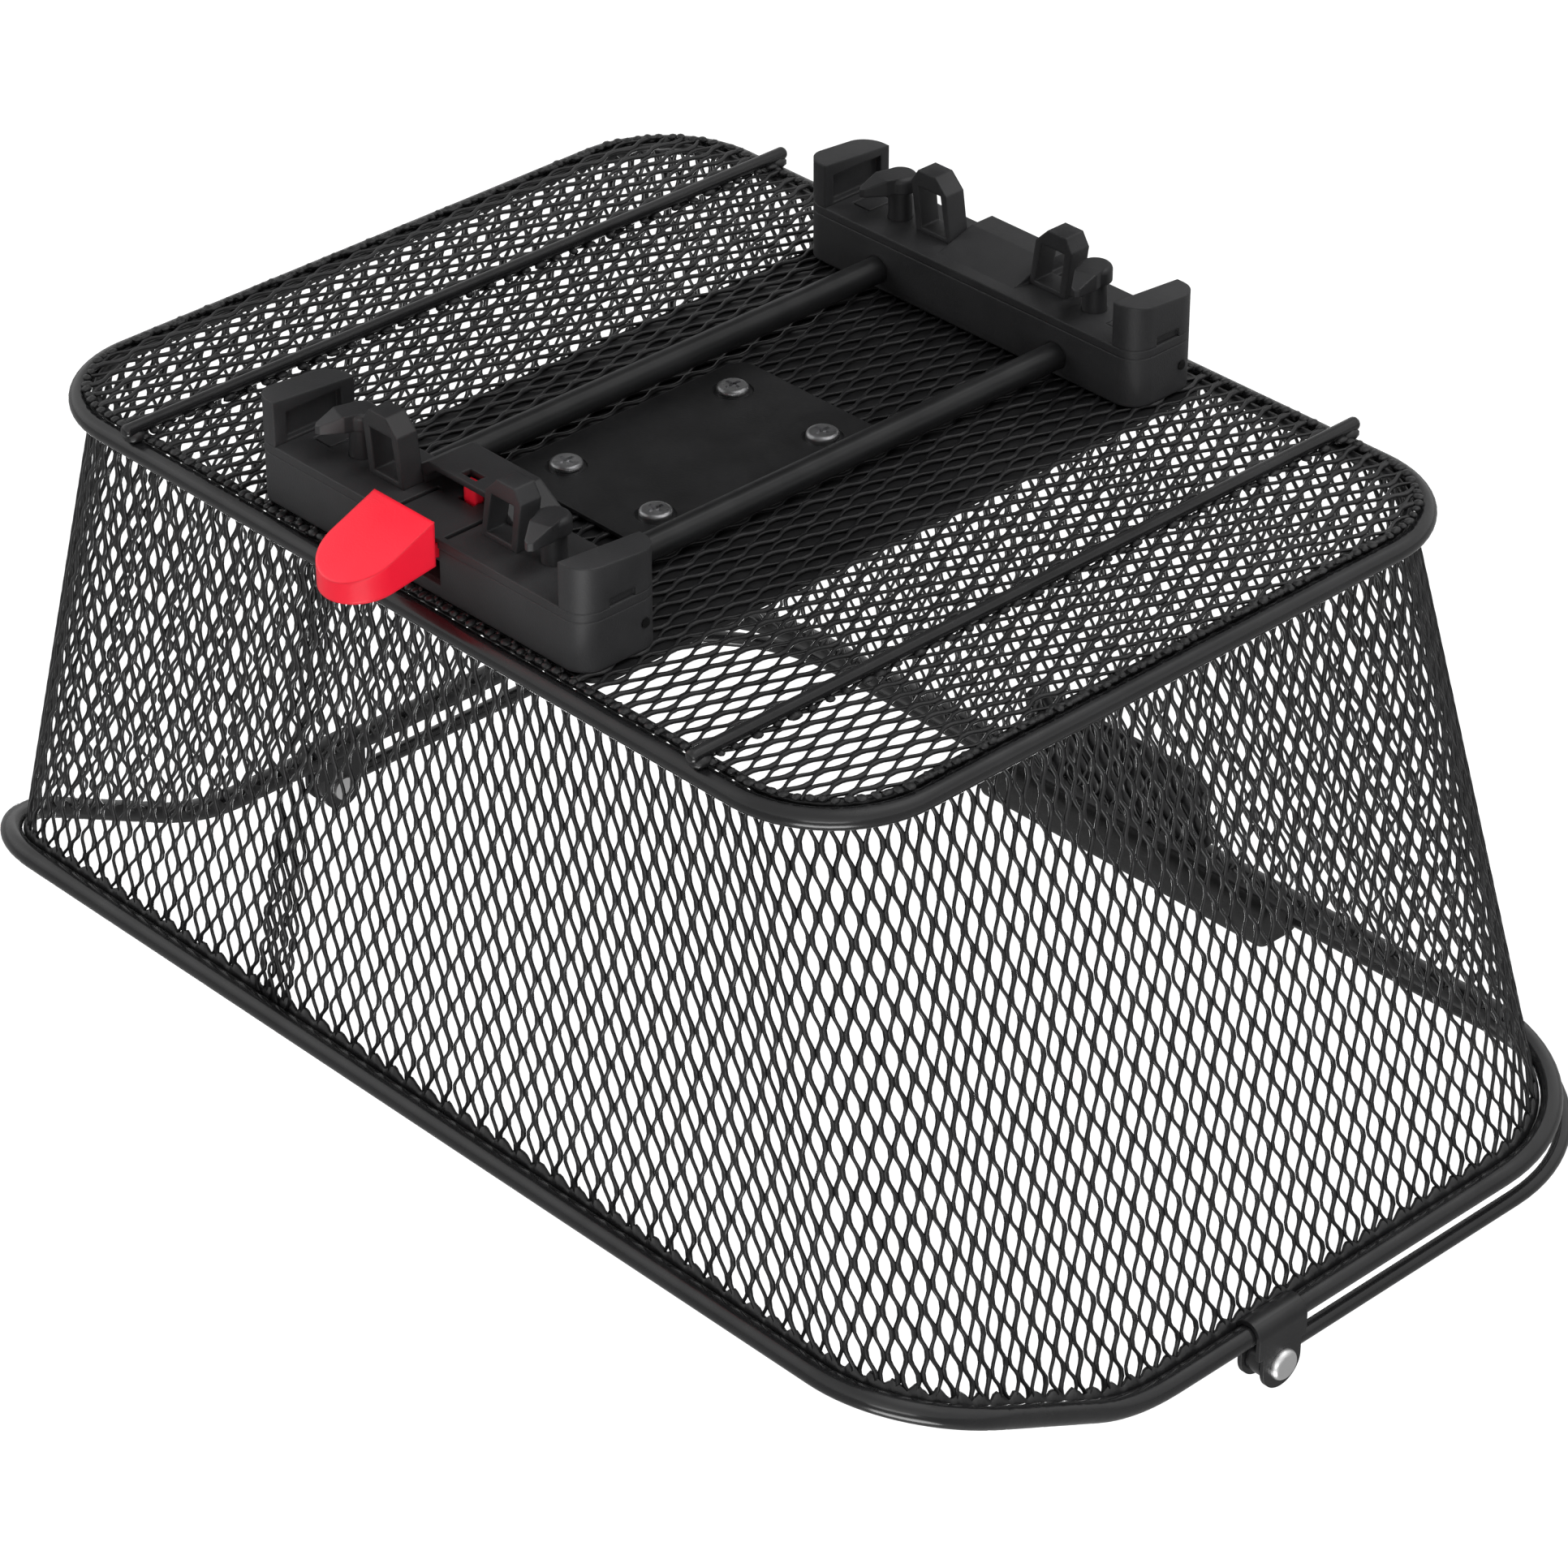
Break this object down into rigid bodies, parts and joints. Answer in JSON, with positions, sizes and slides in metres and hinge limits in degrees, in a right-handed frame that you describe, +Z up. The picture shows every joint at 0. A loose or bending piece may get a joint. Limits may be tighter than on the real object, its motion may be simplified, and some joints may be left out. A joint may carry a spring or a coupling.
{
  "type": "bicycle basket",
  "caption": "Flared wire-mesh bicycle basket with a rounded rim, a folding carrying handle and a clip-on rack adapter with turning claws under its floor.",
  "frame": {"origin": "middle of the plane in which the two adapter bars rest on the rack tubes, midway between the left and right side and level with the middle of the basket floor", "axes": "+Z up out of the basket mouth, +X along the longer side of the rim, -Y towards the release lever, +Y towards the badge plate"},
  "size_m": [0.414, 0.323, 0.2543],
  "materials": {
    "black_mesh": "gloss black powder coat on expanded steel",
    "black_wire": "gloss black powder coat on steel wire",
    "black_sheet": "satin black coated sheet steel",
    "tube_black": "satin black tube",
    "zinc_steel": "zinc-plated steel",
    "rivet_metal": "satin bright rivet",
    "dark_pin": "blackened steel pin",
    "grip_plastic": "matt black moulded grip",
    "adapter_plastic": "fine-grained black moulded plastic",
    "jaw_plastic": "fine-grained black moulded plastic",
    "claw_plastic": "smooth black moulded plastic",
    "red_plastic": "satin red moulded plastic"
  },
  "bodies": {
    "frame": {"mesh_front": "black_mesh", "mesh_rear": "black_mesh", "mesh_left": "black_mesh", "mesh_right": "black_mesh", "mesh_corner_fl": "black_mesh", "mesh_corner_fr": "black_mesh", "mesh_corner_rl": "black_mesh", "mesh_corner_rr": "black_mesh", "floor_mesh": "black_mesh", "base_ring": "black_wire", "rim_wire": "black_wire", "floor_rail_left": "black_wire", "floor_rail_right": "black_wire", "outer_floor_plate": "black_sheet", "inner_floor_plate": "black_sheet", "plate_screws": "zinc_steel", "plate_washers": "zinc_steel", "plate_nuts": "zinc_steel", "badge_plate": "black_sheet", "handle_clip_left": "black_sheet", "handle_clip_right": "black_sheet", "clip_rivet_left": "rivet_metal", "clip_rivet_right": "rivet_metal", "front_housing": "adapter_plastic", "rear_housing": "adapter_plastic", "front_cover": "adapter_plastic", "rear_cover": "adapter_plastic", "jaw_front_left": "jaw_plastic", "jaw_front_right": "jaw_plastic", "jaw_rear_left": "jaw_plastic", "jaw_rear_right": "jaw_plastic", "end_pins": "dark_pin", "arch_front_left": "adapter_plastic", "arch_front_right": "adapter_plastic", "arch_rear_left": "adapter_plastic", "arch_rear_right": "adapter_plastic", "indicator_hood": "adapter_plastic", "lever_pin": "zinc_steel", "tube_left": "tube_black", "tube_right": "tube_black", "pin_clips": "zinc_steel", "bar_screws": "zinc_steel"},
    "bail": {"handle_wire": "black_wire", "handle_grip": "grip_plastic"},
    "lever": {"release_lever": "red_plastic"},
    "slider": {"push_yoke": "zinc_steel", "push_rod_left": "zinc_steel", "push_rod_right": "zinc_steel", "indicator_flag": "red_plastic"},
    "claw_fl": {"claw_front_left": "claw_plastic"},
    "claw_fr": {"claw_front_right": "claw_plastic"},
    "claw_rl": {"claw_rear_left": "claw_plastic"},
    "claw_rr": {"claw_rear_right": "claw_plastic"}
  },
  "joints": [
    {"name": "bail_hinge", "type": "hinge", "parent": "frame", "child": "bail", "pos_m": [0, 0.009, 0.2278], "axis": [1, 0, 0], "range_deg": [0, 180]},
    {"name": "lever_hinge", "type": "hinge", "parent": "frame", "child": "lever", "pos_m": [0, -0.104, 0.0054], "axis": [-1, 0, 0], "range_deg": [0, 28]},
    {"name": "slider_slide", "type": "slide", "parent": "frame", "child": "slider", "axis": [0, 1, 0], "range_m": [0, 0.00306]},
    {"name": "claw_fl_hinge", "type": "hinge", "parent": "frame", "child": "claw_fl", "pos_m": [-0.0385, -0.1015, 0], "axis": [0, 0, -1], "range_deg": [0, 72]},
    {"name": "claw_fr_hinge", "type": "hinge", "parent": "frame", "child": "claw_fr", "pos_m": [0.0385, -0.1015, 0], "axis": [0, 0, 1], "range_deg": [0, 72]},
    {"name": "claw_rl_hinge", "type": "hinge", "parent": "frame", "child": "claw_rl", "pos_m": [-0.0385, 0.0985, 0], "axis": [0, 0, -1], "range_deg": [0, 72]},
    {"name": "claw_rr_hinge", "type": "hinge", "parent": "frame", "child": "claw_rr", "pos_m": [0.0385, 0.0985, 0], "axis": [0, 0, 1], "range_deg": [0, 72]}
  ],
  "couplings": [
    {"joint": "lever_hinge", "follows": "slider_slide", "rad_per_m": 159.9},
    {"joint": "claw_fl_hinge", "follows": "slider_slide", "rad_per_m": 411.17},
    {"joint": "claw_fr_hinge", "follows": "slider_slide", "rad_per_m": 411.17},
    {"joint": "claw_rl_hinge", "follows": "slider_slide", "rad_per_m": 411.17},
    {"joint": "claw_rr_hinge", "follows": "slider_slide", "rad_per_m": 411.17}
  ]
}
